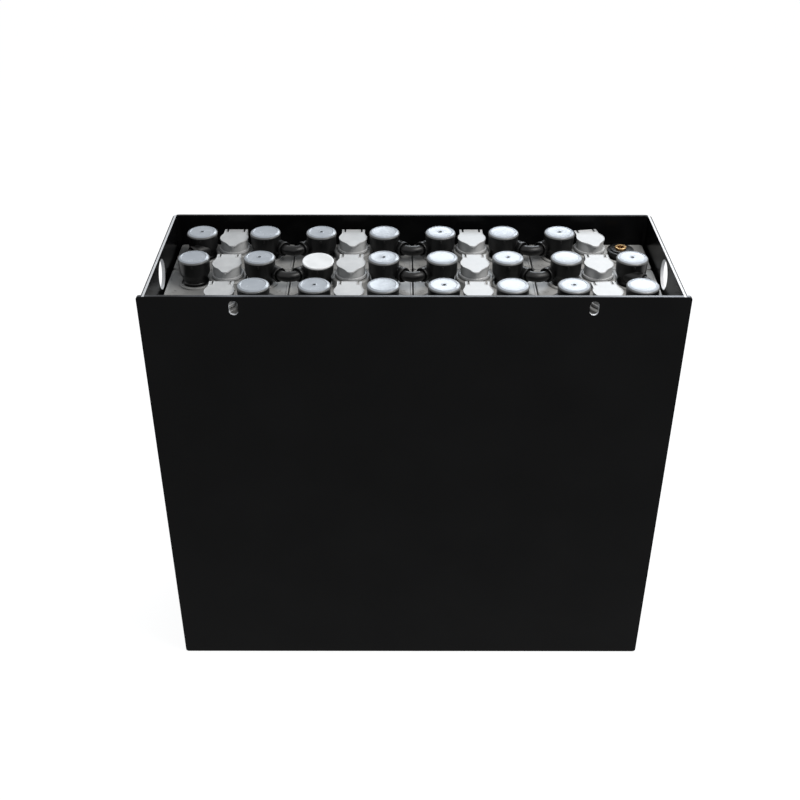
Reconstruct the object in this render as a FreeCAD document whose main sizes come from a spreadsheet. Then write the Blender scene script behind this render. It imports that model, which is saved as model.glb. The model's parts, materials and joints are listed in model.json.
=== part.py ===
import FreeCAD, Part
import math
import os

import Sketcher
from FreeCAD import Vector

# A 24 volt forklift traction battery: twelve two-volt cells, three rows of four, in a steel tray.
# Origin: middle of the tray's underside. X runs along the tray, the front plate faces -Y, Z is up.
# Row 1 is the back row and column 1 is at the left, seen from the front.

doc = FreeCAD.newDocument("traction_battery")
sheet = doc.addObject("Spreadsheet::Sheet", "sizes")
sheet.Label = "sizes"

# Driving dimensions, in millimetres and degrees
SIZES = [
    ("tray_length", 660.0, "front plate, end to end"),
    ("tray_depth", 237.0, "front plate's face to back wall's face"),
    ("tray_height", 588.0, "underside to rim"),
    ("plate_overhang", 6.0, "front plate beyond each end wall"),
    ("wall", 4.0, "steel sheet"),
    ("floor_thick", 5.0, "tray floor"),
    ("bend_radius", 8.0, "outside of the bend between end wall and back wall"),
    ("plate_corner", 4.0, "rounding of the front plate's corners"),
    ("weld_gap", 0.1, "floor sheet to walls"),
    ("slot_spacing", 430.0, "front plate's two slots, centre to centre"),
    ("slot_width", 11.0, "slot, across"),
    ("slot_height", 19.0, "slot, end to end"),
    ("slot_drop", 15.5, "rim to slot centre"),
    ("lift_radius", 19.0, "lifting hole"),
    ("lift_drop", 25.0, "rim to lifting hole's centre"),
    ("lift_shift", 11.0, "lifting hole's centre, forward of the middle of the tray"),
    ("row_end_gap", 3.75, "row of cells to each end wall"),
    ("row_side_gap", 1.25, "outer rows of cells to the front plate and the back wall"),
    ("cell_gap", 1.5, "jar to jar"),
    ("cell_height", 540.0, "jar's foot to lid plane"),
    ("cell_corner", 5.0, "cell cover's upright edges"),
    ("lid_depth", 9.0, "cell cover's rim"),
    ("lid_lip", 0.7, "cell cover's rim beyond the jar"),
    ("collar_radius", 19.2, "vent neck on the cell cover"),
    ("collar_height", 13.0, "vent neck above the lid plane"),
    ("well_radius", 15.8, "filler well's bore"),
    ("well_depth", 46.0, "filler well below the vent neck's top"),
    ("terminal_spacing", 84.0, "between a cell's two terminals"),
    ("post_radius", 7.5, "terminal post"),
    ("post_height", 15.5, "terminal post above the lid plane"),
    ("thread_radius", 4.25, "tapping hole for an M10 bolt"),
    ("thread_depth", 13.0, "threaded length"),
    ("seat_gap", 0.1, "moulding to post"),
    ("seal_base_radius", 14.8, "terminal seal's base"),
    ("seal_base_height", 7.0, "terminal seal's base"),
    ("seal_flange_radius", 17.7, "terminal seal's flange"),
    ("seal_flange_top", 11.7, "terminal seal's flange above the lid plane"),
    ("seal_rib_radius", 13.2, "terminal seal's raised collar"),
    ("seal_rib_top", 13.2, "terminal seal's raised collar above the lid plane"),
    ("head_low_radius", 17.2, "connector head below its shoulder"),
    ("head_shoulder_low", 14.0, "shoulder's lower edge above the lid plane"),
    ("head_shoulder_high", 21.0, "shoulder's upper edge above the lid plane"),
    ("head_radius", 20.6, "connector head above its shoulder"),
    ("head_height", 34.7, "connector head above the lid plane"),
    ("low_head_height", 28.0, "the one lower connector head"),
    ("cable_height", 17.0, "cable's centre above the lid plane"),
    ("cable_radius", 7.0, "connector cable, over its sheath"),
    ("boot_radius", 9.0, "cable boot on the head"),
    ("boot_length", 24.0, "cable boot, from inside the head to its end"),
    ("boot_reach", 28.0, "cable boot's end from the head's axis"),
    ("boot_bearing", 23.0, "bearing of the boot's end, from the line between the heads"),
    ("boot_turn", 48.0, "direction of the boot, from the line between the heads"),
    ("cap_thick", 3.0, "bolt cap"),
    ("cap_edge", 1.0, "bolt cap's chamfer"),
    ("white_cap_radius", 20.3, "plain white cap"),
    ("white_cap_thick", 2.6, "plain white cap"),
    ("white_cap_edge", 0.8, "plain white cap's chamfer"),
    ("white_cap_tilt", 4.5, "plain white cap, not pressed home"),
    ("white_stem_radius", 8.5, "plain white cap's stem"),
    ("white_stem_length", 4.5, "plain white cap's stem"),
    ("recess_radius", 10.2, "stem's recess in the lower head"),
    ("recess_depth", 5.0, "stem's recess in the lower head"),
    ("plug_radius", 17.9, "vent plug's drum"),
    ("plug_height", 13.7, "vent plug's drum above its seat"),
    ("plug_flange_radius", 20.7, "vent plug's flange"),
    ("plug_flange_thick", 2.0, "vent plug's flange"),
    ("spigot_gap", 0.2, "spigot to filler well, on the radius"),
    ("spigot_depth", 12.0, "spigot below its seat"),
    ("cup_radius", 13.5, "filling cup inside the drum"),
    ("cup_floor", 3.0, "filling cup's floor above the seat"),
    ("lid_gap", 0.3, "flip lid above the drum"),
    ("lid_thick", 2.0, "flip lid"),
    ("lid_radius", 18.7, "flip lid's round sides"),
    ("lid_back", 25.0, "flip lid's back edge behind the plug's axis"),
    ("lid_flare_radius", 20.0, "hollow between straight side and round side"),
    ("lid_waist_radius", 30.0, "hollow between round side and tip"),
    ("lid_tip", 27.0, "flip lid's tip in front of the plug's axis"),
    ("lid_tip_radius", 5.5, "flip lid's tip"),
    ("lid_half_back", 15.4, "half of the flip lid's back edge"),
    ("lid_ear", 3.1, "hinge ear's width"),
    ("lid_slit", 2.4, "slit beside a hinge ear"),
    ("lid_slit_depth", 8.0, "slit beside a hinge ear"),
    ("lid_plug_gap", 0.5, "flip lid's stopper to filling cup, on the radius"),
    ("lid_plug_depth", 2.5, "flip lid's stopper"),
    ("hinge_back", 22.3, "hinge axis behind the plug's axis"),
    ("hinge_drop", 3.0, "hinge axis below the flip lid's underside"),
    ("knuckle_radius", 2.6, "hinge knuckle and ear lugs"),
    ("pin_radius", 1.5, "hinge pin"),
    ("pin_gap", 0.05, "hinge pin to bore"),
    ("pin_reach", 4.2, "hinge pin beyond the knuckle"),
    ("knuckle_gap", 0.4, "knuckle inside the slit's inner edge"),
    ("turn_back_right", 9.5, "back right plug, turned from square"),
    ("turn_front_right", 7.0, "front right plug, turned from square"),
]

for line, (alias, number, meaning) in enumerate(SIZES, start=1):
    sheet.set(f"A{line}", alias)
    sheet.set(f"B{line}", str(number))
    sheet.set(f"C{line}", meaning)
    sheet.setAlias(f"B{line}", alias)
doc.recompute()


class Size:
    """A number together with the sheet expression that gives it."""

    def __init__(self, value, text):
        self.value = float(value)
        self.text = text

    def __add__(self, other):
        other = as_size(other)
        return Size(self.value + other.value, f"({self.text} + {other.text})")

    def __sub__(self, other):
        other = as_size(other)
        return Size(self.value - other.value, f"({self.text} - {other.text})")

    def __mul__(self, other):
        other = as_size(other)
        return Size(self.value * other.value, f"({self.text} * {other.text})")

    def __truediv__(self, other):
        other = as_size(other)
        return Size(self.value / other.value, f"({self.text} / {other.text})")

    def __neg__(self):
        return Size(-self.value, f"(0 - {self.text})")

    def sin(self):
        return Size(math.sin(math.radians(self.value)), f"sin({self.text} * 1 deg)")

    def cos(self):
        return Size(math.cos(math.radians(self.value)), f"cos({self.text} * 1 deg)")

    def root(self):
        return Size(math.sqrt(self.value), f"sqrt({self.text})")


def as_size(number):
    return number if isinstance(number, Size) else Size(number, f"{number}")


S = {alias: Size(sheet.get(alias), f"sizes.{alias}") for alias, _, _ in SIZES}
ZERO = as_size(0.0)
ROWS = 3
COLUMNS = 4


# Helpers for sketches and features
def bind(thing, prop, size):
    thing.setExpression(prop, size.text)


def plane_of(body, role):
    return next(item for item in body.Origin.OriginFeatures if item.Role == role)


def new_sketch(body, name, role, lift=ZERO, shift=ZERO):
    """A sketch on one of the body's own planes, moved along its normal and along its own x."""
    sketch = body.newObject("Sketcher::SketchObject", name)
    sketch.AttachmentSupport = (plane_of(body, role), "")
    sketch.MapMode = "FlatFace"
    if lift is not ZERO:
        bind(sketch, "AttachmentOffset.Base.z", lift)
    if shift is not ZERO:
        bind(sketch, "AttachmentOffset.Base.x", shift)
    return sketch


def hold(sketch, geometry, end, x, y):
    """Fixes one point of the sketch at a place given by two sizes."""
    for kind, size, axis in (("DistanceX", x, -2), ("DistanceY", y, -1)):
        if size is ZERO:
            sketch.addConstraint(Sketcher.Constraint("PointOnObject", geometry, end, axis))
        else:
            index = sketch.addConstraint(Sketcher.Constraint(kind, -1, 1, geometry, end, size.value))
            sketch.setExpression(f"Constraints[{index}]", size.text)


def arc_centre(start, finish, bend):
    """Centre of the arc from start to finish; a positive bend turns to the left."""
    middle = (start + finish) * 0.5
    chord = finish - start
    rise = math.sqrt(max(bend * bend - chord.Length**2 / 4, 0.0))
    left = Vector(-chord.y, chord.x, 0).normalize()
    return middle + left * (rise if bend > 0 else -rise)


def draw_outline(sketch, corners):
    """A closed outline. A corner is (x, y), or (x, y, bend) where an arc of that radius follows."""
    points = [Vector(corner[0].value, corner[1].value, 0) for corner in corners]
    ends = []
    for index, corner in enumerate(corners):
        start = points[index]
        finish = points[(index + 1) % len(points)]
        if len(corner) == 2:
            geometry = sketch.addGeometry(Part.LineSegment(start, finish))
            ends.append((geometry, 1, 2))
            continue
        bend = corner[2].value
        centre = arc_centre(start, finish, bend)
        circle = Part.Circle(centre, Vector(0, 0, 1), abs(bend))
        first, last = (start, finish) if bend > 0 else (finish, start)
        begin = math.atan2(first.y - centre.y, first.x - centre.x)
        end = math.atan2(last.y - centre.y, last.x - centre.x)
        if end < begin:
            end += 2 * math.pi
        geometry = sketch.addGeometry(Part.ArcOfCircle(circle, begin, end))
        ends.append((geometry, 1, 2) if bend > 0 else (geometry, 2, 1))
    for index, (geometry, _, finish_end) in enumerate(ends):
        following, following_start, _ = ends[(index + 1) % len(ends)]
        link = Sketcher.Constraint("Coincident", geometry, finish_end, following, following_start)
        sketch.addConstraint(link)
    for corner, (geometry, start_end, _) in zip(corners, ends):
        hold(sketch, geometry, start_end, corner[0], corner[1])
        if len(corner) == 3:
            radius = corner[2] if corner[2].value > 0 else -corner[2]
            index = sketch.addConstraint(Sketcher.Constraint("Radius", geometry, radius.value))
            sketch.setExpression(f"Constraints[{index}]", radius.text)


def draw_circle(sketch, x, y, radius):
    centre = Vector(x.value, y.value, 0)
    geometry = sketch.addGeometry(Part.Circle(centre, Vector(0, 0, 1), radius.value))
    hold(sketch, geometry, 3, x, y)
    index = sketch.addConstraint(Sketcher.Constraint("Radius", geometry, radius.value))
    sketch.setExpression(f"Constraints[{index}]", radius.text)


def rounded_rectangle(width, height, radius):
    """Corners of a rectangle about the sketch's origin, with rounded corners."""
    x = width / 2
    y = height / 2
    return [
        (radius - x, -y),
        (x - radius, -y, radius),
        (x, radius - y),
        (x, y - radius, radius),
        (x - radius, y),
        (radius - x, y, radius),
        (-x, y - radius),
        (-x, radius - y, radius),
    ]


def new_body(name):
    return doc.addObject("PartDesign::Body", name)


def pad(body, sketch, length, backwards=False):
    feature = body.newObject("PartDesign::Pad", f"{sketch.Name}_pad")
    feature.Profile = sketch
    feature.Reversed = backwards
    bind(feature, "Length", length)
    return feature


def pocket(body, sketch, length, backwards=False, both_ways=False):
    feature = body.newObject("PartDesign::Pocket", f"{sketch.Name}_pocket")
    feature.Profile = sketch
    feature.Reversed = backwards
    feature.Midplane = both_ways
    bind(feature, "Length", length)
    return feature


def revolve(body, sketch):
    feature = body.newObject("PartDesign::Revolution", f"{sketch.Name}_turn")
    feature.Profile = sketch
    feature.ReferenceAxis = (sketch, ["V_Axis"])
    feature.Angle = 360.0
    return feature


def turned_body(name, profile):
    """A body turned about Z from a half profile of (radius, height) corners."""
    body = new_body(name)
    sketch = new_sketch(body, f"{name}_profile", "XZ_Plane")
    draw_outline(sketch, profile)
    revolve(body, sketch)
    return body


def copy_of(form, name, x, y, z, turn=ZERO):
    """A sub-part that repeats a form at its own place."""
    body = doc.addObject("PartDesign::Body", name)
    base = doc.addObject("PartDesign::FeatureBase", f"{name}_base")
    body.Group = [base]
    base.BaseFeature = form
    body.Tip = base
    place(body, x, y, z, turn)
    return body


def place(thing, x, y, z, turn=ZERO):
    for prop, size in (("x", x), ("y", y), ("z", z)):
        bind(thing, f"Placement.Base.{prop}", size)
    if turn is not ZERO:
        bind(thing, "Placement.Rotation.Angle", turn)


# Places shared by the pieces
lid_plane = S["floor_thick"] + S["cell_height"]
front_face = -S["tray_depth"] / 2
wall_half_length = S["tray_length"] / 2 - S["plate_overhang"]
wall_front = front_face + S["wall"]
wall_back = S["tray_depth"] / 2
row_room = (wall_half_length - S["wall"] - S["row_end_gap"]) * 2.0
rows_room = S["tray_depth"] - (S["wall"] + S["row_side_gap"]) * 2.0
pitch_x = (row_room + S["cell_gap"]) / COLUMNS
pitch_y = (rows_room + S["cell_gap"]) / ROWS
cell_width = pitch_x - S["cell_gap"]
cell_thick = pitch_y - S["cell_gap"]
collar_top = lid_plane + S["collar_height"]
parts = []


def keep(thing, label):
    """Marks an object as a sub-part that gets a file of its own."""
    thing.Label = label
    parts.append(thing)
    return thing


def column_x(column):
    return pitch_x * (column - (COLUMNS + 1) / 2)


def row_y(row):
    return pitch_y * ((ROWS + 1) / 2 - row)


# Tray
def make_end_wall(name, side):
    """An end wall with its bend round the back corner and a lifting hole under its rim."""
    body = new_body(name)
    outer = S["bend_radius"]
    inner = outer - S["wall"]
    x = wall_half_length * side
    inside = (wall_half_length - S["wall"]) * side
    bend_end = (wall_half_length - outer) * side
    back_inside = wall_back - S["wall"]
    sketch = new_sketch(body, f"{name}_outline", "XY_Plane")
    draw_outline(
        sketch,
        [
            (x, wall_front),
            (x, wall_back - outer, outer * side),
            (bend_end, wall_back),
            (bend_end, back_inside, -inner * side),
            (inside, back_inside - inner),
            (inside, wall_front),
        ],
    )
    pad(body, sketch, S["tray_height"])
    hole = new_sketch(body, f"{name}_lifting_hole", "YZ_Plane")
    draw_circle(hole, -S["lift_shift"], S["tray_height"] - S["lift_drop"], S["lift_radius"])
    pocket(body, hole, S["tray_length"], both_ways=True)
    return keep(body, name)


def make_back_wall():
    """The flat back wall, butt welded between the two end walls' bends."""
    body = new_body("tray_back_wall")
    x = wall_half_length - S["bend_radius"]
    inside = wall_back - S["wall"]
    sketch = new_sketch(body, "back_wall_outline", "XY_Plane")
    draw_outline(sketch, [(-x, inside), (x, inside), (x, wall_back), (-x, wall_back)])
    pad(body, sketch, S["tray_height"])
    return keep(body, "tray_back_wall")


def make_front_plate():
    """The thicker-looking front: a flat plate that overhangs both end walls, with two slots."""
    body = new_body("tray_front_plate")
    x = S["tray_length"] / 2
    radius = S["plate_corner"]
    top = S["tray_height"]
    sketch = new_sketch(body, "plate_outline", "XZ_Plane", lift=-front_face)
    draw_outline(
        sketch,
        [
            (radius - x, ZERO),
            (x - radius, ZERO, radius),
            (x, radius),
            (x, top - radius, radius),
            (x - radius, top),
            (radius - x, top, radius),
            (-x, top - radius),
            (-x, radius, radius),
        ],
    )
    pad(body, sketch, S["wall"], backwards=True)
    slots = new_sketch(body, "slots", "XZ_Plane", lift=-front_face)
    half_width = S["slot_width"] / 2
    straight = S["slot_height"] / 2 - half_width
    middle = top - S["slot_drop"]
    for side in (-1.0, 1.0):
        x = S["slot_spacing"] * side / 2
        draw_outline(
            slots,
            [
                (x - half_width, middle - straight, half_width),
                (x, middle - straight - half_width, half_width),
                (x + half_width, middle - straight),
                (x + half_width, middle + straight, half_width),
                (x, middle + straight + half_width, half_width),
                (x - half_width, middle + straight),
            ],
        )
    pocket(body, slots, S["wall"] * 3, both_ways=True)
    return keep(body, "tray_front_plate")


def make_tray_floor():
    """The floor sheet, welded in between the walls and the front plate."""
    body = new_body("tray_floor")
    gap = S["weld_gap"]
    x = wall_half_length - S["wall"] - gap
    front = wall_front + gap
    back = wall_back - S["wall"] - gap
    corner = S["bend_radius"]
    sketch = new_sketch(body, "floor_outline", "XY_Plane")
    draw_outline(
        sketch,
        [
            (-x, front),
            (x, front),
            (x, back - corner),
            (x - corner, back),
            (corner - x, back),
            (-x, back - corner),
        ],
    )
    pad(body, sketch, S["floor_thick"])
    return keep(body, "tray_floor")


# Cells
def make_cell_form():
    """A sealed jar with its welded cover, the vent neck and the filler well under it."""
    body = new_body("cell_form")
    lip = S["lid_lip"]
    rim = S["cell_height"] - S["lid_depth"]
    jar = new_sketch(body, "jar_outline", "XY_Plane")
    x = cell_width / 2 - lip
    y = cell_thick / 2 - lip
    draw_outline(jar, [(-x, -y), (x, -y), (x, y), (-x, y)])
    pad(body, jar, rim)
    cover = new_sketch(body, "cover_outline", "XY_Plane", lift=rim)
    draw_outline(cover, rounded_rectangle(cell_width, cell_thick, S["cell_corner"]))
    pad(body, cover, S["lid_depth"])
    neck = new_sketch(body, "vent_neck", "XY_Plane", lift=S["cell_height"])
    draw_circle(neck, ZERO, ZERO, S["collar_radius"])
    pad(body, neck, S["collar_height"])
    well = new_sketch(body, "filler_well", "XY_Plane", lift=S["cell_height"] + S["collar_height"])
    draw_circle(well, ZERO, ZERO, S["well_radius"])
    pocket(body, well, S["well_depth"])
    return body


# Terminals
def make_terminal_form():
    """A round brass post with a tapped blind hole."""
    radius = S["post_radius"]
    bore = S["thread_radius"]
    top = S["post_height"]
    bore_end = top - S["thread_depth"]
    profile = [
        (ZERO, ZERO),
        (radius, ZERO),
        (radius, top),
        (bore, top),
        (bore, bore_end),
        (ZERO, bore_end),
    ]
    return turned_body("terminal_form", profile)


def make_seal_form():
    """The moulded seal round a bare terminal: a foot, a flange over it and a raised collar."""
    inner = S["post_radius"] + S["seat_gap"]
    base = S["seal_base_radius"]
    base_top = S["seal_base_height"]
    flange = S["seal_flange_radius"]
    flange_top = S["seal_flange_top"]
    rib_top = S["seal_rib_top"]
    profile = [
        (inner, ZERO),
        (base, ZERO),
        (base, base_top),
        (flange, base_top),
        (flange, flange_top),
        (S["seal_rib_radius"], flange_top),
        (S["seal_rib_radius"], rib_top),
        (inner, rib_top),
    ]
    return turned_body("seal_form", profile)


# Connectors
def make_head_form(name, height):
    """A connector's moulded head: waist, shoulder and drum."""
    profile = [
        (ZERO, ZERO),
        (S["head_low_radius"], ZERO),
        (S["head_low_radius"], S["head_shoulder_low"]),
        (S["head_radius"], S["head_shoulder_high"]),
        (S["head_radius"], height),
        (ZERO, height),
    ]
    return turned_body(name, profile)


def make_link_form(name, half_span, left_head, right_head):
    """A flexible connector: two heads, a boot on each and a cable that bows towards -Y."""
    turn = S["boot_turn"]
    end_x = half_span - S["boot_reach"] * S["boot_bearing"].cos()
    end_y = -(S["boot_reach"] * S["boot_bearing"].sin())
    start_x = end_x + S["boot_length"] * turn.cos()
    start_y = end_y + S["boot_length"] * turn.sin()
    height = S["cable_height"]
    pieces = []
    for side, suffix, head in ((-1.0, "left", left_head), (1.0, "right", right_head)):
        pieces.append(copy_of(head, f"{name}_head_{suffix}", half_span * side, ZERO, ZERO))
        boot = doc.addObject("Part::Cylinder", f"{name}_boot_{suffix}")
        bind(boot, "Radius", S["boot_radius"])
        bind(boot, "Height", S["boot_length"])
        boot.Placement.Rotation = FreeCAD.Rotation(Vector(0, 1, 0), 90.0)
        bind(boot, "Placement.Rotation.Axis.x", -turn.sin())
        bind(boot, "Placement.Rotation.Axis.y", turn.cos() * side)
        bind(boot, "Placement.Rotation.Angle", as_size(-90.0))
        place(boot, start_x * side, start_y, height)
        pieces.append(boot)
    bow_radius = end_x / turn.sin()
    bow = doc.addObject("Part::Torus", f"{name}_bow")
    bind(bow, "Radius1", bow_radius)
    bind(bow, "Radius2", S["cable_radius"])
    bind(bow, "Angle3", turn * 2.0)
    place(bow, ZERO, bow_radius * turn.cos() + end_y, height, as_size(270.0) - turn)
    pieces.append(bow)
    link = doc.addObject("Part::MultiFuse", name)
    link.Shapes = pieces
    return link


def cut_recess(link, x):
    """Sinks the white cap's round recess into a link's lower head."""
    recess = doc.addObject("Part::Cylinder", "stem_recess")
    bind(recess, "Radius", S["recess_radius"])
    bind(recess, "Height", S["recess_depth"])
    place(recess, x, ZERO, S["low_head_height"] - S["recess_depth"])
    cut = doc.addObject("Part::Cut", "low_link_form")
    cut.Base = link
    cut.Tool = recess
    return cut


def repeat_link(form, label, x, y, turn=ZERO):
    """A connector at its own place on the cell covers."""
    return keep(copy_of(form, label, x, y, lid_plane, turn), label)


# Caps
def make_cap_form():
    """The round plastic cap over a connector's bolt."""
    radius = S["head_radius"] - S["seat_gap"]
    thick = S["cap_thick"]
    edge = S["cap_edge"]
    profile = [
        (ZERO, ZERO),
        (radius, ZERO),
        (radius, thick - edge),
        (radius - edge, thick),
        (ZERO, thick),
    ]
    return turned_body("cap_form", profile)


def make_white_cap():
    """The plain replacement cap: a thin disc on a stem that sits crooked in the lower head."""
    radius = S["white_cap_radius"]
    thick = S["white_cap_thick"]
    edge = S["white_cap_edge"]
    stem = S["white_stem_radius"]
    profile = [
        (ZERO, -S["white_stem_length"]),
        (stem, -S["white_stem_length"]),
        (stem, ZERO),
        (radius, ZERO),
        (radius, thick - edge),
        (radius - edge, thick),
        (ZERO, thick),
    ]
    body = turned_body("white_cap", profile)
    tilt = S["white_cap_tilt"]
    lift = S["white_cap_radius"] * tilt.sin()
    body.Placement.Rotation = FreeCAD.Rotation(Vector(1, 0, 0), tilt.value)
    place(body, terminal_x(2, -1.0), row_y(2), lid_plane + S["low_head_height"] + lift, tilt)
    return keep(body, "white_cap")


# Vent plugs and flip lids
def make_plug_form():
    """A vent plug: spigot, flange, drum with a filling cup, and a hinge knuckle behind."""
    body_profile = [
        (ZERO, -S["spigot_depth"]),
        (S["well_radius"] - S["spigot_gap"], -S["spigot_depth"]),
        (S["well_radius"] - S["spigot_gap"], ZERO),
        (S["plug_flange_radius"], ZERO),
        (S["plug_flange_radius"], S["plug_flange_thick"]),
        (S["plug_radius"], S["plug_flange_thick"]),
        (S["plug_radius"], S["plug_height"]),
        (ZERO, S["plug_height"]),
    ]
    body = turned_body("plug_form", body_profile)
    knuckle = new_sketch(body, "knuckle", "YZ_Plane")
    radius = S["knuckle_radius"]
    root = S["cup_radius"] - S["lid_plug_depth"]
    draw_outline(
        knuckle,
        [
            (root, hinge_z - radius),
            (S["hinge_back"], hinge_z - radius, radius),
            (S["hinge_back"] + radius, hinge_z, radius),
            (S["hinge_back"], hinge_z + radius),
            (root, hinge_z + radius),
        ],
    )
    block = pad(body, knuckle, knuckle_half * 2.0)
    block.Midplane = True
    pins = new_sketch(body, "hinge_pins", "YZ_Plane")
    draw_circle(pins, S["hinge_back"], hinge_z, S["pin_radius"])
    rod = pad(body, pins, (knuckle_half + S["pin_reach"]) * 2.0)
    rod.Midplane = True
    cup = new_sketch(body, "filling_cup", "XY_Plane", lift=S["plug_height"])
    draw_circle(cup, ZERO, ZERO, S["cup_radius"])
    pocket(body, cup, S["plug_height"] - S["cup_floor"])
    return body


def make_lid_form():
    """A flip lid: shaped plate, two hinge ears with bored lugs, and a stopper underneath."""
    body = new_body("lid_form")
    back = S["lid_back"]
    side = S["lid_half_back"]
    slit_outer = side - S["lid_ear"]
    slit_inner = slit_outer - S["lid_slit"]
    slit_end = back - S["lid_slit_depth"]
    round_side = S["lid_radius"]
    flare = S["lid_flare_radius"]
    flare_reach = round_side + flare
    flare_y = (flare_reach * flare_reach - (side + flare) * (side + flare)).root()
    flare_share = round_side / flare_reach
    waist = S["lid_waist_radius"]
    tip = S["lid_tip_radius"]
    tip_centre = S["lid_tip"] - tip
    waist_reach = round_side + waist
    tip_reach = tip + waist
    spread = waist_reach * waist_reach - tip_reach * tip_reach
    waist_y = (spread + tip_centre * tip_centre) / (tip_centre * 2.0)
    waist_x = (waist_reach * waist_reach - waist_y * waist_y).root()
    waist_share = round_side / waist_reach
    tip_share = tip / tip_reach
    round_start = ((side + flare) * flare_share, flare_y * flare_share)
    round_end = (waist_x * waist_share, -(waist_y * waist_share))
    tip_start = (waist_x * tip_share, -(tip_centre + (waist_y - tip_centre) * tip_share))
    plate = new_sketch(body, "lid_outline", "XY_Plane", lift=lid_under)
    draw_outline(
        plate,
        [
            (side, back),
            (slit_outer, back),
            (slit_outer, slit_end),
            (slit_inner, slit_end),
            (slit_inner, back),
            (-slit_inner, back),
            (-slit_inner, slit_end),
            (-slit_outer, slit_end),
            (-slit_outer, back),
            (-side, back),
            (-side, flare_y, -flare),
            (-round_start[0], round_start[1], round_side),
            (-round_end[0], round_end[1], -waist),
            (-tip_start[0], tip_start[1], tip),
            (tip_start[0], tip_start[1], -waist),
            (round_end[0], round_end[1], round_side),
            (round_start[0], round_start[1], -flare),
            (side, flare_y),
        ],
    )
    pad(body, plate, S["lid_thick"])
    stopper = new_sketch(body, "stopper", "XY_Plane", lift=lid_under)
    draw_circle(stopper, ZERO, ZERO, S["cup_radius"] - S["lid_plug_gap"])
    pad(body, stopper, S["lid_plug_depth"], backwards=True)
    for sign, suffix in ((-1.0, "left"), (1.0, "right")):
        lug = new_sketch(body, f"lug_{suffix}", "YZ_Plane", lift=side * sign)
        radius = S["knuckle_radius"]
        draw_outline(
            lug,
            [
                (S["hinge_back"] - radius, lid_under),
                (S["hinge_back"] - radius, hinge_z, radius),
                (S["hinge_back"], hinge_z - radius, radius),
                (S["hinge_back"] + radius, hinge_z),
                (S["hinge_back"] + radius, lid_under),
            ],
        )
        pad(body, lug, S["lid_ear"], backwards=sign > 0)
    bores = new_sketch(body, "hinge_bores", "YZ_Plane")
    draw_circle(bores, S["hinge_back"], hinge_z, S["pin_radius"] + S["pin_gap"])
    pocket(body, bores, S["lid_half_back"] * 3.0, both_ways=True)
    return body


def terminal_x(column, side):
    return column_x(column) + S["terminal_spacing"] * side / 2.0


# Assembly
make_end_wall("tray_left_end", -1.0)
make_end_wall("tray_right_end", 1.0)
make_back_wall()
make_front_plate()
make_tray_floor()

knuckle_half = S["lid_half_back"] - S["lid_ear"] - S["lid_slit"] - S["knuckle_gap"]
lid_under = S["plug_height"] + S["lid_gap"]
hinge_z = lid_under - S["hinge_drop"]
ROW_NAMES = {1: "back", 2: "middle", 3: "front"}
TURNS = {(1, 4): S["turn_back_right"], (3, 4): S["turn_front_right"]}
LOW_LINK = (2, 1)
MAIN_TERMINALS = (("positive", 1, COLUMNS, 1.0), ("negative", ROWS, 1, -1.0))

cell_form = make_cell_form()
plug_form = make_plug_form()
lid_form = make_lid_form()
for row, row_name in ROW_NAMES.items():
    for column in range(1, COLUMNS + 1):
        x = column_x(column)
        y = row_y(row)
        turn = TURNS.get((row, column), ZERO)
        tag = f"{row_name}_{column}"
        keep(copy_of(cell_form, f"cell_{tag}", x, y, S["floor_thick"]), f"cell_{tag}")
        keep(copy_of(plug_form, f"vent_plug_{tag}", x, y, collar_top, turn), f"vent_plug_{tag}")
        keep(copy_of(lid_form, f"flip_lid_{tag}", x, y, collar_top, turn), f"flip_lid_{tag}")

terminal_form = make_terminal_form()
seal_form = make_seal_form()
for pole, row, column, side in MAIN_TERMINALS:
    x = terminal_x(column, side)
    y = row_y(row)
    keep(copy_of(terminal_form, f"{pole}_terminal", x, y, lid_plane), f"{pole}_terminal")
    keep(copy_of(seal_form, f"{pole}_seal", x, y, lid_plane), f"{pole}_seal")

head_form = make_head_form("head_form", S["head_height"])
low_head_form = make_head_form("low_head_form", S["low_head_height"])
row_span = (pitch_x - S["terminal_spacing"]) / 2.0
row_link = make_link_form("row_link_form", row_span, head_form, head_form)
cross_link = make_link_form("cross_link_form", pitch_y / 2.0, head_form, head_form)
uneven_link = make_link_form("uneven_link_form", row_span, head_form, low_head_form)
low_link = cut_recess(uneven_link, row_span)
for row, row_name in ROW_NAMES.items():
    for column in range(1, COLUMNS):
        form = low_link if (row, column) == LOW_LINK else row_link
        x = (column_x(column) + column_x(column + 1)) / 2.0
        repeat_link(form, f"link_{row_name}_{column}_{column + 1}", x, row_y(row))
repeat_link(cross_link, "link_back_middle", terminal_x(1, -1.0), pitch_y / 2.0, as_size(-90.0))
repeat_link(cross_link, "link_middle_front", terminal_x(COLUMNS, 1.0), -(pitch_y / 2.0), as_size(90.0))

cap_form = make_cap_form()
bare_heads = {(row, column, side) for _, row, column, side in MAIN_TERMINALS}
bare_heads.add((2, 2, -1.0))
caps = []
for row in ROW_NAMES:
    for column in range(1, COLUMNS + 1):
        for side in (-1.0, 1.0):
            if (row, column, side) not in bare_heads:
                x = terminal_x(column, side)
                z = lid_plane + S["head_height"]
                caps.append(copy_of(cap_form, f"cap_{len(caps) + 1}", x, row_y(row), z))
cap_set = doc.addObject("Part::Compound", "bolt_caps")
cap_set.Links = caps
keep(cap_set, "bolt_caps")
make_white_cap()

# Check every object, then write one file per sub-part
doc.recompute()
for thing in doc.Objects:
    if "Invalid" in thing.State or "Error" in thing.State:
        raise RuntimeError(f"{thing.Label} did not build: {thing.State}")
os.makedirs("parts", exist_ok=True)
for thing in parts:
    shape = thing.Shape
    if shape.isNull() or not shape.isValid():
        raise RuntimeError(f"{thing.Label} has no valid shape")
    shape.exportStep(f"parts/{thing.Label}.step")
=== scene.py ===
import json
import math

import bmesh
import bpy
from mathutils import Euler, Matrix, Vector


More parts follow.
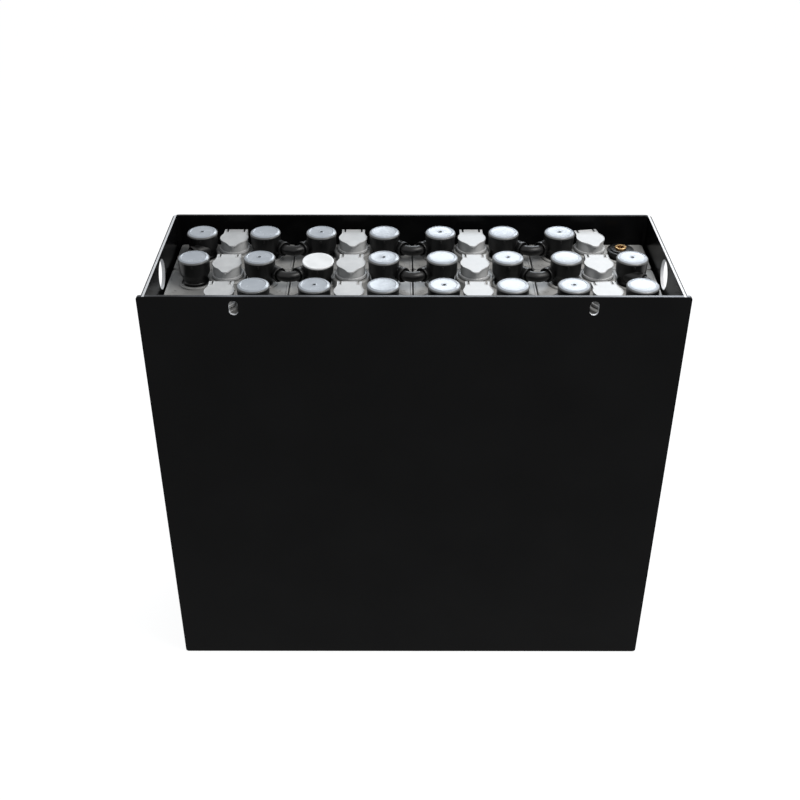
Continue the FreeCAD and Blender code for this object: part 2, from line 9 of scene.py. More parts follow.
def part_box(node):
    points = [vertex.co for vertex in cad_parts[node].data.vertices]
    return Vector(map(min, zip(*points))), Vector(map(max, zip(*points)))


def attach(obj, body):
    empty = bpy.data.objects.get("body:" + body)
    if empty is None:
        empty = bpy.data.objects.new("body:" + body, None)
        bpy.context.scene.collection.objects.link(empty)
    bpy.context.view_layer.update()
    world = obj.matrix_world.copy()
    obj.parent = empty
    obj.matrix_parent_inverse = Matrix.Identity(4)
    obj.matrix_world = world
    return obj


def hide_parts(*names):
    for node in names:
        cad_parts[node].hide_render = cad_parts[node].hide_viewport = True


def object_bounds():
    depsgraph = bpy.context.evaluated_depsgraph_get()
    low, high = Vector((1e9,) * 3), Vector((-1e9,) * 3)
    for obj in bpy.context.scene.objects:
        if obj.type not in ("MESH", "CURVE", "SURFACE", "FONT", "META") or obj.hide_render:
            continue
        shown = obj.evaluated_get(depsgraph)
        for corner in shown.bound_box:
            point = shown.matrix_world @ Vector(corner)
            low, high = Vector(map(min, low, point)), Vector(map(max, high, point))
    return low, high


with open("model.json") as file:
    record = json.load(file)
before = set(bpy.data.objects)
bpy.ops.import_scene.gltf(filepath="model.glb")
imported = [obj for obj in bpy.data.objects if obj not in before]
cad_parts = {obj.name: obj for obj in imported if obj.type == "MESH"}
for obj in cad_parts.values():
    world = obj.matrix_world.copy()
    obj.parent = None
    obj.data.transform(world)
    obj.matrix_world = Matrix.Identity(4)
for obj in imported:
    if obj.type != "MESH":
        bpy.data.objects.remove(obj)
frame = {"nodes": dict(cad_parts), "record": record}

# A forklift traction battery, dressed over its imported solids. Lengths are in metres.
cad_low, cad_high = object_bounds()
MM = 0.001
ROW_NAMES = ("back", "middle", "front")
COLUMNS = range(1, 5)
BODY = "battery"


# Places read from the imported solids
def middle(node):
    low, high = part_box(node)
    return (low + high) / 2


def top_of(node):
    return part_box(node)[1].z


TERMINAL_REACH = 42 * MM
LOW_HEAD = ("middle", 2, -1)
LID_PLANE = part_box("positive_terminal")[0].z
HEAD_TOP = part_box("bolt_caps")[0].z
SEAT = top_of("cell_back_1")
cells = {(row, column): middle(f"cell_{row}_{column}") for row in ROW_NAMES for column in COLUMNS}


def terminal_place(row, column, side):
    """The axis of one of a cell's two terminals, on the cell cover."""
    centre = cells[row, column]
    return Vector((centre.x + side * TERMINAL_REACH, centre.y, LID_PLANE))


# Height of a cap's side band over its link head, in millimetres
CAP_BAND = 2.15

# Painted highlights and a painted reflection on the tray: where their masks lie
WALL = 4 * MM
RIM_TOP = cad_high.z
RIM_FLOOR = RIM_TOP - 0.4 * MM
WALL_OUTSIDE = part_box("tray_right_end")[1].x
RIM_HALF = 1.35 * MM
RIM_MIDDLE = WALL_OUTSIDE - WALL + RIM_HALF
HOLE_Y = -11 * MM
HOLE_Z = RIM_TOP - 25 * MM
HOLE_EDGE = 19.4 * MM
FRONT_RIM = cad_low.y + WALL / 2
SLOT_X = 215 * MM
SLOT_Z = RIM_TOP - 15.5 * MM
SLOT_STRAIGHT = 4 * MM
SLOT_EDGE = 5.9 * MM


# Node helpers
class Shader:
    """A material under construction, with short ways to add and join nodes."""

    def __init__(self, name):
        self.material = bpy.data.materials.new(name)
        self.material.use_nodes = True
        self.tree = self.material.node_tree
        self.surface = self.tree.nodes["Principled BSDF"]

    def node(self, kind, **settings):
        node = self.tree.nodes.new(kind)
        for key, value in settings.items():
            setattr(node, key, value)
        return node

    def join(self, output, target):
        self.tree.links.new(output, target)

    def set(self, **values):
        for key, value in values.items():
            self.surface.inputs[key.replace("_", " ")].default_value = value

    def noise(self, scale, detail=4.0, stretch=(1, 1, 1)):
        """Noise in object space. Scale is features per metre."""
        place = self.node("ShaderNodeTexCoord")
        mapping = self.node("ShaderNodeMapping")
        mapping.inputs["Scale"].default_value = stretch
        noise = self.node("ShaderNodeTexNoise")
        noise.inputs["Scale"].default_value = scale
        noise.inputs["Detail"].default_value = detail
        self.join(place.outputs["Object"], mapping.inputs["Vector"])
        self.join(mapping.outputs["Vector"], noise.inputs["Vector"])
        return noise.outputs["Fac"]

    def ramp(self, source, low, high, start=0.35, end=0.65):
        """A colour or value that runs from low to high as the source runs from start to end."""
        ramp = self.node("ShaderNodeValToRGB")
        ramp.color_ramp.elements[0].position = start
        ramp.color_ramp.elements[1].position = end
        ramp.color_ramp.elements[0].color = (*low, 1)
        ramp.color_ramp.elements[1].color = (*high, 1)
        self.join(source, ramp.inputs["Fac"])
        return ramp.outputs["Color"]

    def blend(self, factor, first, second):
        mix = self.node("ShaderNodeMix", data_type="RGBA")
        self.join(factor, mix.inputs[0])
        for value, socket in ((first, mix.inputs[6]), (second, mix.inputs[7])):
            if hasattr(value, "is_linked"):
                self.join(value, socket)
            else:
                socket.default_value = (*value, 1)
        return mix.outputs[2]

    def math(self, operation, first, second=None, third=None):
        node = self.node("ShaderNodeMath", operation=operation)
        for value, socket in zip((first, second, third), node.inputs):
            if hasattr(value, "is_linked"):
                self.join(value, socket)
            elif value is not None:
                socket.default_value = value
        return node.outputs[0]

    def place_axes(self):
        """The x, y and z of the point in the object's own space, in metres."""
        place = self.node("ShaderNodeTexCoord")
        split = self.node("ShaderNodeSeparateXYZ")
        self.join(place.outputs["Object"], split.inputs[0])
        return split.outputs[0], split.outputs[1], split.outputs[2]

    def near(self, value, middle, half):
        return self.math("COMPARE", value, middle, half)

    def above(self, value, edge):
        return self.math("GREATER_THAN", value, edge)

    def both(self, first, second):
        return self.math("MULTIPLY", first, second)

    def colour(self, output):
        self.join(output, self.surface.inputs["Base Color"])

    def roughness(self, source, low, high, start=0.3, end=0.7):
        self.join(self.ramp(source, (low,) * 3, (high,) * 3, start, end), self.surface.inputs["Roughness"])

    def bump(self, source, height_mm, strength=1.0, edge_mm=0.0):
        """Fine relief, and edges that read as rounded by edge_mm."""
        bump = self.node("ShaderNodeBump")
        bump.inputs["Strength"].default_value = strength
        bump.inputs["Distance"].default_value = height_mm * MM
        self.join(source, bump.inputs["Height"])
        if edge_mm:
            bevel = self.node("ShaderNodeBevel", samples=6)
            bevel.inputs["Radius"].default_value = edge_mm * MM
            self.join(bevel.outputs["Normal"], bump.inputs["Normal"])
        self.join(bump.outputs["Normal"], self.surface.inputs["Normal"])


# Materials
def tray_paint():
    """Smooth black coating, with a painted reflection along the front rim. The end walls' rim tops, the
    lifting-hole edges and the slot edges get painted highlights in light grey.
    """
    shade = Shader("tray_black_coating")
    dust = shade.noise(9.0, 6.0)
    grain = shade.noise(900.0, 3.0)
    coat = shade.ramp(dust, (0.0026, 0.0026, 0.0028), (0.0042, 0.0042, 0.0044))
    x, y, z = shade.place_axes()
    rim = shade.both(shade.near(shade.math("ABSOLUTE", x), RIM_MIDDLE, RIM_HALF), shade.above(z, RIM_FLOOR))
    across = shade.math("POWER", shade.math("SUBTRACT", y, HOLE_Y), 2.0)
    up = shade.math("POWER", shade.math("SUBTRACT", z, HOLE_Z), 2.0)
    hole = shade.math("LESS_THAN", shade.math("ADD", across, up), HOLE_EDGE ** 2)
    aside = shade.math("POWER", shade.math("SUBTRACT", shade.math("ABSOLUTE", x), SLOT_X), 2.0)
    past = shade.math("SUBTRACT", shade.math("ABSOLUTE", shade.math("SUBTRACT", z, SLOT_Z)), SLOT_STRAIGHT)
    past = shade.math("POWER", shade.math("MAXIMUM", past, 0.0), 2.0)
    slot = shade.math("LESS_THAN", shade.math("ADD", aside, past), SLOT_EDGE ** 2)
    slot = shade.both(slot, shade.near(y, FRONT_RIM, 1.8 * MM))
    # Painted highlight: the end walls' rim tops, lifting-hole edges and slot edges are painted light grey
    painted_highlight = shade.math("MAXIMUM", shade.math("MAXIMUM", rim, hole), slot)
    # Painted reflection: lighter patches along the front rim's top stand in for its reflection
    rim_reflection = shade.ramp(shade.noise(5.5, 3.0, (1, 0, 0)), (0.03, 0.03, 0.032), (0.2, 0.21, 0.23), 0.4, 0.62)
    front_rim = shade.both(shade.near(y, FRONT_RIM, 2.1 * MM), shade.above(z, RIM_FLOOR))
    coat = shade.blend(front_rim, coat, rim_reflection)
    shade.colour(shade.blend(painted_highlight, coat, (0.7, 0.7, 0.71)))
    shade.roughness(dust, 0.16, 0.26)
    shade.set(Specular_IOR_Level=0.055)
    shade.bump(grain, 0.01, 0.15, edge_mm=0.9)
    return shade.material


def cell_plastic():
    """Grey polypropylene covers, dulled by dust and dried acid."""
    shade = Shader("cell_cover_grey")
    dust = shade.noise(38.0, 7.0)
    specks = shade.noise(420.0, 2.0)
    clean = shade.ramp(dust, (0.27, 0.268, 0.262), (0.38, 0.376, 0.366))
    dirt = shade.ramp(specks, (0, 0, 0), (0.35, 0.35, 0.35), 0.62, 0.8)
    shade.colour(shade.blend(dirt, clean, (0.55, 0.54, 0.5)))
    shade.roughness(dust, 0.36, 0.55)
    shade.bump(specks, 0.03, 0.3, edge_mm=0.6)
    return shade.material


def vent_plastic():
    """Satin light grey moulding of the vent plugs and their lids."""
    shade = Shader("vent_light_grey")
    mottle = shade.noise(55.0, 6.0)
    grain = shade.noise(1500.0, 2.0)
    base = shade.ramp(mottle, (0.46, 0.462, 0.462), (0.55, 0.55, 0.548))
    shade.colour(base)
    shade.roughness(mottle, 0.38, 0.5)
    shade.bump(grain, 0.02, 0.3, edge_mm=0.35)
    return shade.material


def link_rubber():
    """Glossy black moulding of the connector heads, boots and cable sheath."""
    shade = Shader("link_black")
    dust = shade.noise(60.0, 6.0)
    grain = shade.noise(1100.0, 3.0)
    shade.colour(shade.ramp(dust, (0.0035, 0.0035, 0.0036), (0.008, 0.008, 0.0082)))
    shade.roughness(dust, 0.27, 0.4)
    shade.set(Specular_IOR_Level=0.3)
    shade.bump(grain, 0.02, 0.3, edge_mm=0.3)
    return shade.material


def seal_rubber():
    shade = Shader("seal_black")
    dust = shade.noise(80.0, 5.0)
    shade.colour(shade.ramp(dust, (0.004, 0.004, 0.004), (0.009, 0.009, 0.009)))
    shade.roughness(dust, 0.3, 0.42)
    shade.set(Specular_IOR_Level=0.3)
    shade.bump(dust, 0.05, 0.2, edge_mm=0.4)
    return shade.material


def brass():
    """Turned brass with fine rings and a little tarnish."""
    shade = Shader("terminal_brass")
    tarnish = shade.noise(160.0, 5.0)
    shade.colour(shade.ramp(tarnish, (0.42, 0.24, 0.09), (0.75, 0.5, 0.24)))
    shade.set(Metallic=1.0)
    shade.roughness(tarnish, 0.22, 0.42)
    shade.bump(shade.noise(2500.0, 2.0, (1, 1, 12)), 0.02, 0.4, edge_mm=0.3)
    return shade.material


def cap_plastic(name, low, high, smooth, side=None):
    """Glossy cap moulding with faint handling marks and, on the grey ones, painted shade on the side band."""
    shade = Shader(name)
    marks = shade.noise(70.0, 6.0)
    colour = shade.ramp(marks, low, high)
    # Painted shade: below CAP_BAND the colour blends to the darker side colour
    if side:
        height = shade.math("SUBTRACT", shade.place_axes()[2], HEAD_TOP)
        band = shade.math("DIVIDE", height, CAP_BAND * MM)
        colour = shade.blend(shade.ramp(band, (1, 1, 1), (0, 0, 0), 0.8, 1.0), colour, side)
    shade.colour(colour)
    shade.roughness(marks, smooth, smooth + 0.1)
    shade.bump(shade.noise(1300.0, 2.0), 0.01, 0.2)
    return shade.material


MATERIALS = {
    "tray_paint": tray_paint(),
    "cell_plastic": cell_plastic(),
    "vent_plastic": vent_plastic(),
    "link_rubber": link_rubber(),
    "seal_rubber": seal_rubber(),
    "terminal_brass": brass(),
    # The grey caps' last colour is the painted shade of their side band
    "cap_grey": cap_plastic("cap_cool_grey", (0.33, 0.36, 0.4), (0.37, 0.4, 0.44), 0.2, (0.12, 0.122, 0.124)),
    "cap_white": cap_plastic("cap_plain_white", (0.74, 0.74, 0.74), (0.82, 0.82, 0.82), 0.35),
}


# Mesh helpers
SHARP_ANGLE = math.radians(38)


def rounded(profile, radius, steps=4):
    """A profile of (radius, height) corners in millimetres, with its inner corners rounded off."""
    points = [Vector(corner) for corner in profile]
    smooth = [points[0]]
    for before, here, after in zip(points, points[1:], points[2:]):
        to_before = before - here
        to_after = after - here
        reach = min(radius, to_before.length * 0.45, to_after.length * 0.45)
        start = here + to_before.normalized() * reach
        end = here + to_after.normalized() * reach
        for step in range(steps + 1):
            share = step / steps
            first = start.lerp(here, share)
            second = here.lerp(end, share)
            smooth.append(first.lerp(second, share))
    smooth.append(points[-1])
    return smooth


def lathe(mesh, profile, place, segments=64, turn=None):
    """Adds a turned form to a mesh. A profile point at radius 0 closes on the axis."""
    move = Matrix.Translation(place)
    if turn is not None:
        move = move @ turn
    rings = []
    for radius, height in profile:
        if radius < 1e-6:
            rings.append([mesh.verts.new(move @ Vector((0, 0, height * MM)))])
            continue
        ring = []
        for index in range(segments):
            angle = 2 * math.pi * index / segments
            point = Vector((math.cos(angle) * radius, math.sin(angle) * radius, height)) * MM
            ring.append(mesh.verts.new(move @ point))
        rings.append(ring)
    for low, high in zip(rings, rings[1:]):
        if len(low) == 1 and len(high) == 1:
            continue
        for index in range(segments):
            following = (index + 1) % segments
            if len(low) == 1:
                mesh.faces.new((low[0], high[following], high[index]))
            elif len(high) == 1:
                mesh.faces.new((low[index], low[following], high[0]))
            else:
                mesh.faces.new((low[index], low[following], high[following], high[index]))


def tube(mesh, path, radius, segments=32):
    """Adds a closed round tube along a path in metres. Its radius is in millimetres."""
    rings = []
    for index, point in enumerate(path):
        before = path[max(index - 1, 0)]
        after = path[min(index + 1, len(path) - 1)]
        along = (after - before).normalized()
        side = along.cross(Vector((0, 0, 1))).normalized()
        up = side.cross(along)
        ring = []
        for step in range(segments):
            angle = 2 * math.pi * step / segments
            offset = (side * math.cos(angle) + up * math.sin(angle)) * radius * MM
            ring.append(mesh.verts.new(point + offset))
        rings.append(ring)
    for low, high in zip(rings, rings[1:]):
        for step in range(segments):
            following = (step + 1) % segments
            mesh.faces.new((low[step], high[step], high[following], low[following]))
    mesh.faces.new(rings[0])
    mesh.faces.new(list(reversed(rings[-1])))


def piece(name, mesh, slot, body=BODY, replaces=(), level_flat=False):
    """Turns a finished bmesh into a smooth object that rides on a body. Level faces can be kept flat."""
    bmesh.ops.recalc_face_normals(mesh, faces=mesh.faces)
    for face in mesh.faces:
        face.smooth = not (level_flat and abs(face.normal.z) > 0.999)
    data = bpy.data.meshes.new(name)
    mesh.to_mesh(data)
    mesh.free()
    if "custom_normal" in data.attributes:
        data.attributes.remove(data.attributes["custom_normal"])
    thing = bpy.data.objects.new(name, data)
    bpy.context.scene.collection.objects.link(thing)
    data.set_sharp_from_angle(angle=SHARP_ANGLE)
    data.materials.append(MATERIALS[slot])
    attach(thing, body)
    if replaces:
        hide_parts(*replaces)


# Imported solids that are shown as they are
def dress_nodes():
    """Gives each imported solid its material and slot."""
    slots = {item["node"]: item["material_slot"] for item in frame["record"]["subparts"]}
    for name, node in frame["nodes"].items():
        slot = slots[name]
        node.data.materials.clear()
        node.data.materials.append(MATERIALS[slot])


# Caps
HOLED = {("back", 0), ("back", 2), ("back", 4), ("back", 6), ("middle", 1), ("middle", 3)}
HOLED |= {("middle", 5), ("middle", 7), ("front", 2), ("front", 4), ("front", 6)}
BARE = {("back", 7), ("middle", 2), ("front", 0)}
CAP_RADIUS = 20.4
CAP_THICK = 3.0
LEDGE_RADIUS = 18.7
DISH_RADIUS = 15.8


def cap_profile(holed):
    """Half section of a bolt cap: rounded side band, ridge, shallow dish, and a probe hole in some."""
    side = [(0, -0.5), (CAP_RADIUS - 0.3, -0.5), (CAP_RADIUS, 0.2), (CAP_RADIUS - 0.5, 1.3)]
    shoulder = [(LEDGE_RADIUS, CAP_BAND), (LEDGE_RADIUS - 1.2, 2.6), (DISH_RADIUS + 0.9, 3.0)]
    dish = [(DISH_RADIUS + 0.2, CAP_THICK), (DISH_RADIUS - 0.5, 2.45)]
    if holed:
        hub = [(3.6, 2.35), (3.0, 2.75), (2.3, 2.75), (2.0, 2.4), (2.0, -0.4), (0, -0.4)]
    else:
        hub = [(6.0, 2.3), (0, 2.3)]
    return rounded(side + shoulder + dish + hub, 0.45, 3)


def make_caps():
    mesh = bmesh.new()
    for row in ROW_NAMES:
        for index in range(8):
            if (row, index) in BARE:
                continue
            place = terminal_place(row, 1 + index // 2, 1 if index % 2 else -1)
            place.z = HEAD_TOP
            lathe(mesh, cap_profile((row, index) in HOLED), place, 72)
    piece("bolt_caps_moulded", mesh, "cap_grey", replaces=("bolt_caps",))


WHITE_CAP_RADIUS = 20.3
WHITE_CAP_THICK = 2.6
WHITE_CAP_TILT = math.radians(4.5)


def make_white_cap():
    """A thinner plain cap that sits crooked on the lower head."""
    radius = WHITE_CAP_RADIUS
    rim = [(0, 0), (radius - 0.3, 0), (radius, 0.6), (radius, 1.7), (radius - 0.8, WHITE_CAP_THICK)]
    top = [(radius - 3.0, WHITE_CAP_THICK - 0.1), (radius - 4.0, WHITE_CAP_THICK - 0.3), (0, 2.2)]
    place = terminal_place(*LOW_HEAD)
    place.z += (LOW_HEAD_HEIGHT + radius * math.sin(WHITE_CAP_TILT)) * MM
    mesh = bmesh.new()
    lathe(mesh, rounded(rim + top, 0.5, 3), place, 72, Matrix.Rotation(WHITE_CAP_TILT, 4, "X"))
    piece("white_cap_moulded", mesh, "cap_white", replaces=("white_cap",))


# Links, in millimetres from a head's axis and the cell cover
HEAD_HEIGHT = (HEAD_TOP - LID_PLANE) / MM
LOW_HEAD_HEIGHT = 28.0
CABLE_HEIGHT = 17.0
CABLE_RADIUS = 6.6
CABLE_IN_BOOT = 4.0
BOW_STEPS = 16
BOOT_LENGTH = 24.0
BOOT_REACH = 28.0
BOOT_BEARING = math.radians(23)
BOOT_TURN = math.radians(48)


def head_profile(height):
    """Half section of a connector head: foot bead, groove, waist, shoulder and a slightly wider drum."""
    foot = [(0, 0.2), (15.4, 0.2), (16.4, 3.4), (16.6, 5.4), (15.6, 6.2), (15.6, 6.9)]
    neck = [(16.4, 7.4), (16.5, 10.6), (19.2, 16.4)]
    drum = [(19.5, 18.0), (19.95, height - 1.2), (19.9, height - 0.5), (19.3, height), (0, height)]
    return rounded(foot + neck + drum, 0.7, 3)


def boot_profile():
    """Half section of a cable boot along its own axis, with a swollen end that the cable comes out of."""
    sleeve = [(0, 0), (7.4, 0), (8.5, 2.0), (8.9, 17.0), (9.7, 21.0)]
    mouth = [(9.8, 23.6), (9.4, BOOT_LENGTH + 0.6), (7.9, BOOT_LENGTH + 0.6)]
    throat = [(7.4, 23.0), (7.4, 19.0), (0, 19.0)]
    return rounded(sleeve + mouth + throat, 0.5, 3)


def make_link(node, left, right, left_height=HEAD_HEIGHT, right_height=HEAD_HEIGHT):
    """One flexible link from head to head. Seen from the left head, its cable bows to the right."""
    mesh = bmesh.new()
    along = (right - left).normalized()
    across = Vector((0, 0, 1)).cross(along)
    centre = (left + right) / 2
    half_span = (right - left).length / 2 / MM

    def place(x, y, z):
        return centre + (along * x + across * y + Vector((0, 0, z))) * MM

    end_x = half_span - BOOT_REACH * math.cos(BOOT_BEARING)
    end_y = -BOOT_REACH * math.sin(BOOT_BEARING)
    start_x = end_x + BOOT_LENGTH * math.cos(BOOT_TURN)
    start_y = end_y + BOOT_LENGTH * math.sin(BOOT_TURN)
    for side, height in ((-1, left_height), (1, right_height)):
        head = place(side * half_span, 0, 0)
        lathe(mesh, head_profile(height), head, 72)
        nub = head + Vector((0, -19.6, height - 3.4)) * MM
        lathe(mesh, rounded([(0, -2.4), (1.0, -2.2), (1.2, 1.4), (0, 1.6)], 0.4, 2), nub, 16)
        start = place(side * start_x, start_y, CABLE_HEIGHT)
        end = place(side * end_x, end_y, CABLE_HEIGHT)
        turn = (end - start).to_track_quat("Z", "Y").to_matrix().to_4x4()
        lathe(mesh, boot_profile(), start, 48, turn)
    bow_radius = end_x / math.sin(BOOT_TURN)
    bow_y = end_y + bow_radius * math.cos(BOOT_TURN)
    path = []
    for step in range(-BOW_STEPS, BOW_STEPS + 1):
        angle = BOOT_TURN * step / BOW_STEPS
        path.append(place(bow_radius * math.sin(angle), bow_y - bow_radius * math.cos(angle), CABLE_HEIGHT))
    lead = Vector((math.cos(BOOT_TURN) * CABLE_IN_BOOT, math.sin(BOOT_TURN) * CABLE_IN_BOOT, 0))
    path.insert(0, place(-end_x - lead.x, end_y + lead.y, CABLE_HEIGHT))
    path.append(place(end_x + lead.x, end_y + lead.y, CABLE_HEIGHT))
    tube(mesh, path, CABLE_RADIUS, 40)
    piece(f"{node}_moulded", mesh, "link_rubber", replaces=(node,))


def make_links():
    for row in ROW_NAMES:
        for column in (1, 2, 3):
            low = (row, column + 1, -1) == LOW_HEAD
            make_link(
                f"link_{row}_{column}_{column + 1}",
                terminal_place(row, column, 1),
                terminal_place(row, column + 1, -1),
                right_height=LOW_HEAD_HEIGHT if low else HEAD_HEIGHT,
            )
    make_link("link_back_middle", terminal_place("back", 1, -1), terminal_place("middle", 1, -1))
    make_link("link_middle_front", terminal_place("front", 4, 1), terminal_place("middle", 4, 1))


# Mouldings on the cell covers, in millimetres. A ring has an inner and outer radius, a height and an edge.
PLATFORM = (19.25, 24.4, 11.0, 1.2)
BOSS = (17.9, 21.6, 2.8, 0.8)
GATE_MARK = (2.4, 3.3, 0.35, 0.2)
FLANGE_LIP = (19.5, 20.7, 3.0, 0.5)
GATE_MARK_X = 66.9
GATE_MARK_Y = 24.0
COVER_CORNER = 5.0
BORDER_SECTION = ((0.3, -0.4), (0.3, 0.45), (0.6, 0.75), (2.3, 0.75), (2.7, 0.4), (2.7, -0.4))


def ring_profile(inner, outer, height, edge):
    """Half section of a flat raised ring with softened edges."""
    outside = [(outer, -0.3), (outer, height - edge), (outer - edge, height)]
    inside = [(inner + edge * 0.5, height), (inner, height - edge * 0.5), (inner, -0.3), (outer, -0.3)]
    return outside + inside


def make_cover_mouldings():
    """The raised boss round every terminal, the platform under each vent, and round gate marks."""
    mesh = bmesh.new()
    for row in ROW_NAMES:
        for column in COLUMNS:
            vent = cells[row, column].copy()
            vent.z = LID_PLANE
            lathe(mesh, ring_profile(*PLATFORM), vent, 64)
            for side in (-1, 1):
                lathe(mesh, ring_profile(*BOSS), terminal_place(row, column, side), 64)
                for reach in (-1, 1):
                    mark = vent + Vector((side * GATE_MARK_X, reach * GATE_MARK_Y, 0)) * MM
                    lathe(mesh, ring_profile(*GATE_MARK), mark, 32)
    piece("cover_mouldings", mesh, "cell_plastic")


def make_cover_borders():
    """The low raised border along the edges of every cell cover."""
    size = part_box("cell_back_1")[1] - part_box("cell_back_1")[0]
    mesh = bmesh.new()
    for place in cells.values():
        rings = []
        for inset, height in BORDER_SECTION:
            half_x = size.x / 2 - inset * MM
            half_y = size.y / 2 - inset * MM
            corner = max(COVER_CORNER - inset, 1.0) * MM
            ring = []
            for quarter in range(4):
                sign_x = 1 if quarter in (0, 3) else -1
                sign_y = 1 if quarter < 2 else -1
                for step in range(6):
                    angle = math.radians(90 * quarter + 18 * step)
                    x = place.x + sign_x * (half_x - corner) + math.cos(angle) * corner
                    y = place.y + sign_y * (half_y - corner) + math.sin(angle) * corner
                    ring.append(mesh.verts.new((x, y, LID_PLANE + height * MM)))
            rings.append(ring)
        for low, high in zip(rings, rings[1:] + rings[:1]):
            for index in range(len(low)):
                following = (index + 1) % len(low)
                mesh.faces.new((low[index], low[following], high[following], high[index]))
    piece("cover_borders", mesh, "cell_plastic")


def make_flange_lips():
    """The raised lip round each vent plug's flange."""
    mesh = bmesh.new()
    for row in ROW_NAMES:
        for column in COLUMNS:
            vent = cells[row, column].copy()
            vent.z = SEAT
            lathe(mesh, ring_profile(*FLANGE_LIP), vent, 64)
    piece("vent_flange_lips", mesh, "vent_plastic")


# Flip lids
LID_TURNS = {("back", 4): 9.5, ("front", 4): 7.0}
LID_SOFT_EDGE = 0.35 * MM
LID_RIM = 0.5 * MM
LID_RIM_SLOPE = 0.2 * MM
LID_RIM_HEIGHT = 0.4 * MM


def top_faces(mesh, top, upright, slack):
    """The faces near the top of a mesh that look straight up."""
    faces = []
    for face in mesh.faces:
        if face.normal.z > upright and face.calc_center_median().z > top - slack:
            faces.append(face)
    return faces


def make_lid(row, column):
    """A flip lid with a raised rim, softened edges and a small stop under its tip."""
    node = f"flip_lid_{row}_{column}"
    mesh = bmesh.new()
    mesh.from_mesh(frame["nodes"][node].data)
    bmesh.ops.remove_doubles(mesh, verts=mesh.verts, dist=0.01 * MM)
    bmesh.ops.dissolve_limit(mesh, angle_limit=math.radians(1), verts=mesh.verts, edges=mesh.edges)
    top = max(vertex.co.z for vertex in mesh.verts)
    plate = top_faces(mesh, top, 0.99, 0.1 * MM)
    edges = {edge for face in plate for edge in face.edges}
    bmesh.ops.bevel(mesh, geom=list(edges), offset=LID_SOFT_EDGE, segments=3, affect="EDGES", profile=0.5)
    plate = top_faces(mesh, top, 0.999, 0.05 * MM)
    bmesh.ops.inset_region(mesh, faces=plate, thickness=LID_RIM, depth=0, use_even_offset=True)
    bmesh.ops.inset_region(
        mesh, faces=plate, thickness=LID_RIM_SLOPE, depth=-LID_RIM_HEIGHT, use_even_offset=True
    )
    turn = Matrix.Rotation(math.radians(LID_TURNS.get((row, column), 0.0)), 4, "Z")
    centre = cells[row, column]
    tip = turn @ Vector((0, -24.2, 0)) * MM + Vector((centre.x, centre.y, top - 2.2 * MM))
    lathe(mesh, rounded([(0, -2.4), (1.4, -2.4), (2.0, -1.8), (2.4, 0.3), (0, 0.3)], 0.4, 3), tip, 24)
    piece(f"{node}_moulded", mesh, "vent_plastic", f"lid_{row}_{column}", (node,), level_flat=True)


def make_lids():
    for row in ROW_NAMES:
        for column in COLUMNS:
            make_lid(row, column)


dress_nodes()
make_caps()
make_white_cap()
make_links()
make_cover_mouldings()
make_cover_borders()
make_flange_lips()
make_lids()


# Camera, fitted to the photograph
def make_camera():
    data = bpy.data.cameras.new("camera")
    data.lens = 50.37
    data.sensor_width = 36.0
    data.shift_x = 0.0019
    data.shift_y = 0.0009
    camera = bpy.data.objects.new("camera", data)
    camera.location = (-0.0183, -1.2923, 1.2128)
    pitch = Euler((math.radians(90 - 33.33), 0, 0)).to_matrix()
    roll = Matrix.Rotation(math.radians(0.054), 3, "Z")
    camera.rotation_euler = (pitch @ roll).to_euler()
    bpy.context.scene.collection.objects.link(camera)
    bpy.context.scene.camera = camera


# Floor, world and lamps
FLOOR_REACH = 6.0
FLOOR_DROP = 0.5 * MM


def white_to_lens(tree, lit):
    """Plain white to the lens and to reflections, and the lit shader to everything else."""
    nodes = tree.nodes
    path = nodes.new("ShaderNodeLightPath")
    seen = nodes.new("ShaderNodeMath")
    seen.operation = "MAXIMUM"
    clear = nodes.new("ShaderNodeMath")
    clear.operation = "MAXIMUM"
    tree.links.new(path.outputs["Is Camera Ray"], seen.inputs[0])
    tree.links.new(path.outputs["Is Glossy Ray"], seen.inputs[1])
    tree.links.new(seen.outputs[0], clear.inputs[0])
    tree.links.new(path.outputs["Is Transmission Ray"], clear.inputs[1])
    mix = nodes.new("ShaderNodeMixShader")
    tree.links.new(clear.outputs[0], mix.inputs[0])
    tree.links.new(lit, mix.inputs[1])
    return mix


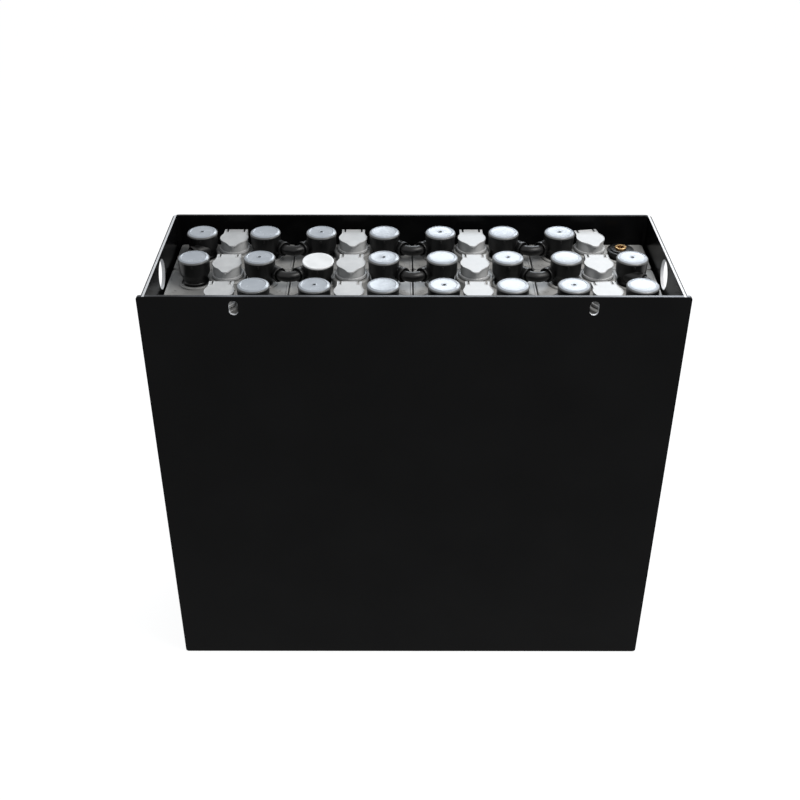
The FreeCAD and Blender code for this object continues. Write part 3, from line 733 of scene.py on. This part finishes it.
def make_world():
    world = bpy.data.worlds.new("studio")
    world.use_nodes = True
    bpy.context.scene.world = world
    tree = world.node_tree
    ambient = tree.nodes["Background"]
    ambient.inputs["Color"].default_value = (0.9, 0.95, 1.0, 1)
    ambient.inputs["Strength"].default_value = 0.35
    white = tree.nodes.new("ShaderNodeBackground")
    white.inputs["Color"].default_value = (1, 1, 1, 1)
    white.inputs["Strength"].default_value = 1.0
    mix = white_to_lens(tree, ambient.outputs[0])
    tree.links.new(white.outputs[0], mix.inputs[2])
    tree.links.new(mix.outputs[0], tree.nodes["World Output"].inputs["Surface"])


def make_floor():
    mesh = bmesh.new()
    bmesh.ops.create_grid(mesh, x_segments=1, y_segments=1, size=FLOOR_REACH)
    data = bpy.data.meshes.new("floor")
    mesh.to_mesh(data)
    mesh.free()
    floor = bpy.data.objects.new("floor", data)
    floor.location.z = -FLOOR_DROP
    bpy.context.scene.collection.objects.link(floor)
    material = bpy.data.materials.new("floor_white")
    material.use_nodes = True
    tree = material.node_tree
    surface = tree.nodes["Principled BSDF"]
    surface.inputs["Base Color"].default_value = (0.85, 0.85, 0.85, 1)
    surface.inputs["Roughness"].default_value = 0.9
    shadowed = tree.nodes.new("ShaderNodeBsdfDiffuse")
    shadowed.inputs["Color"].default_value = (0.22, 0.22, 0.22, 1)
    glow = tree.nodes.new("ShaderNodeEmission")
    glow.inputs["Strength"].default_value = 0.93
    white = tree.nodes.new("ShaderNodeAddShader")
    tree.links.new(shadowed.outputs[0], white.inputs[0])
    tree.links.new(glow.outputs[0], white.inputs[1])
    mix = white_to_lens(tree, surface.outputs[0])
    tree.links.new(white.outputs[0], mix.inputs[2])
    tree.links.new(mix.outputs[0], tree.nodes["Material Output"].inputs["Surface"])
    data.materials.append(material)


def make_lamp(name, place, target, size, power, colour=(1, 1, 1)):
    data = bpy.data.lights.new(name, "AREA")
    data.shape = "RECTANGLE"
    data.size, data.size_y = size
    data.energy = power
    data.color = colour
    lamp = bpy.data.objects.new(name, data)
    lamp.location = place
    lamp.rotation_euler = (Vector(target) - Vector(place)).to_track_quat("-Z", "Y").to_euler()
    bpy.context.scene.collection.objects.link(lamp)


make_camera()
make_world()
make_floor()
make_lamp("key_softbox", (0.52, -0.3, 1.35), (0.16, -0.03, 0.58), (0.7, 0.6), 8.0, (1.0, 0.99, 0.97))
make_lamp("back_softbox", (0.45, 1.25, 1.4), (0.12, 0.0, 0.58), (1.1, 0.5), 13.0, (0.86, 0.93, 1.0))
bpy.context.scene.view_settings.view_transform = "Standard"
